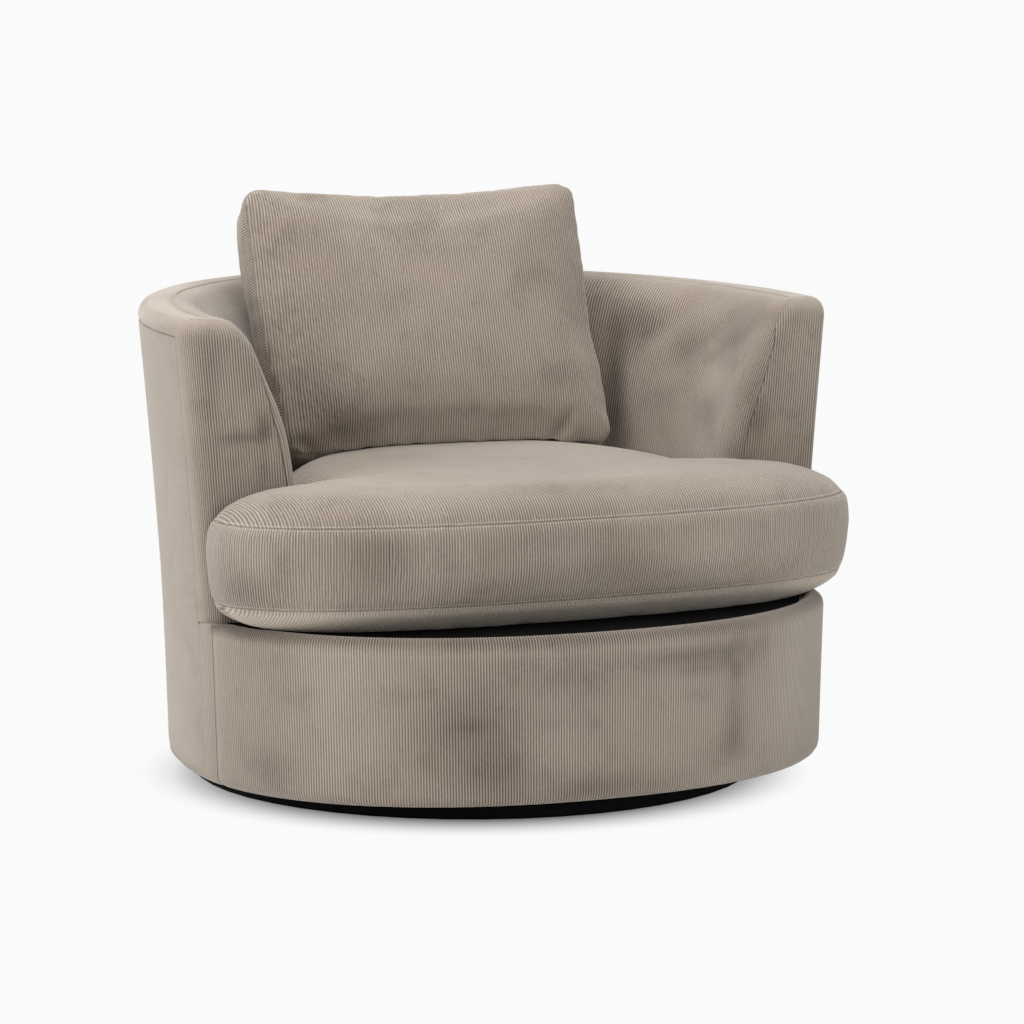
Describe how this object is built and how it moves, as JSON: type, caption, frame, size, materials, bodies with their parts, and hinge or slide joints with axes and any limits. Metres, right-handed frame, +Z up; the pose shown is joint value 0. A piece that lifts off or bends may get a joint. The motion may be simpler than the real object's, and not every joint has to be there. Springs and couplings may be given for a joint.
{
  "type": "swivel cuddle chair",
  "caption": "Wide one-seat tub chair on a swivel base, with a loose T-shaped seat cushion and a loose back pillow, covered in fine corduroy.",
  "frame": {"origin": "on the floor, on the swivel axis, in the middle of the part's plan", "axes": "+Z up, the sitter faces -Y, +X to the sitter's left hand side as seen from the front, that is to the right in the picture"},
  "size_m": [0.999, 0.941, 0.8325],
  "materials": {
    "corduroy": "fine ribbed corduroy, matt",
    "deck_cloth": "plain black decking cloth over felt",
    "foam": "cut upholstery foam",
    "plywood": "raw plywood",
    "hardboard": "bent hardboard",
    "black_board": "black stained board",
    "steel": "zinc plated steel",
    "zip_steel": "dull zip slider",
    "nylon": "moulded glide",
    "black_cloth": "thin non-woven cloth"
  },
  "bodies": {
    "floor_base": {"plinth_board": "black_board", "floor_glide_1": "nylon", "floor_glide_2": "nylon", "floor_glide_3": "nylon", "floor_glide_4": "nylon", "floor_glide_5": "nylon", "lower_plate_screw_1": "steel", "lower_plate_screw_2": "steel", "lower_plate_screw_3": "steel", "lower_plate_screw_4": "steel", "turntable_lower_plate": "steel"},
    "ball_cage": {"ball_cage": "steel"},
    "chair": {"turntable_upper_plate": "steel", "upper_plate_screw_1": "steel", "upper_plate_screw_2": "steel", "upper_plate_screw_3": "steel", "upper_plate_screw_4": "steel", "bottom_board": "plywood", "dust_cover": "black_cloth", "seat_box_front": "plywood", "seat_box_back": "plywood", "seat_box_left": "plywood", "seat_box_right": "plywood", "shell_rib_1": "plywood", "shell_rib_2": "plywood", "shell_rib_3": "plywood", "shell_rib_4": "plywood", "arm_front_board_right": "plywood", "arm_front_cover_right": "corduroy", "arm_front_board_left": "plywood", "arm_front_cover_left": "corduroy", "shell_board": "hardboard", "inner_board": "hardboard", "top_rail": "plywood", "arm_back_foam": "foam", "outer_cover": "corduroy", "top_band": "corduroy", "inner_cover": "corduroy", "front_panel_board": "plywood", "front_ledge_board": "plywood", "front_foam": "foam", "front_cover": "corduroy", "seat_spring_1": "steel", "seat_spring_2": "steel", "seat_spring_3": "steel", "seat_spring_4": "steel", "front_spring_clip_1": "steel", "back_spring_clip_1": "steel", "front_spring_clip_2": "steel", "back_spring_clip_2": "steel", "front_spring_clip_3": "steel", "back_spring_clip_3": "steel", "front_spring_clip_4": "steel", "back_spring_clip_4": "steel", "spring_cloth": "black_cloth", "deck_pad": "deck_cloth"},
    "seat_cushion": {"seat_cushion": "corduroy"},
    "seat_zip_slider": {"seat_zip_slider": "zip_steel"},
    "back_pillow": {"back_pillow": "corduroy"},
    "pillow_zip_slider": {"pillow_zip_slider": "zip_steel"}
  },
  "joints": [
    {"name": "swivel", "type": "hinge", "parent": "floor_base", "child": "chair", "pos_m": [0, 0, 0.035], "axis": [0, 0, 1], "continuous": true},
    {"name": "cage_roll", "type": "hinge", "parent": "floor_base", "child": "ball_cage", "pos_m": [0, 0, 0.035], "axis": [0, 0, 1], "continuous": true},
    {"name": "seat_cushion_lift", "type": "slide", "parent": "chair", "child": "seat_cushion", "axis": [0, 0, 1], "range_m": [0, 0.3]},
    {"name": "back_pillow_lift", "type": "slide", "parent": "seat_cushion", "child": "back_pillow", "axis": [0, 0, 1], "range_m": [0, 0.45]},
    {"name": "seat_zip_travel", "type": "hinge", "parent": "seat_cushion", "child": "seat_zip_slider", "pos_m": [0, -0.055, 0.347], "axis": [0, 0, 1], "range_deg": [-27, 27]},
    {"name": "pillow_zip_travel", "type": "slide", "parent": "back_pillow", "child": "pillow_zip_slider", "axis": [0.9979, -0.0645, 0], "range_m": [0, 0.28]}
  ],
  "couplings": [
    {"joint": "cage_roll", "follows": "swivel", "ratio": 0.5}
  ]
}
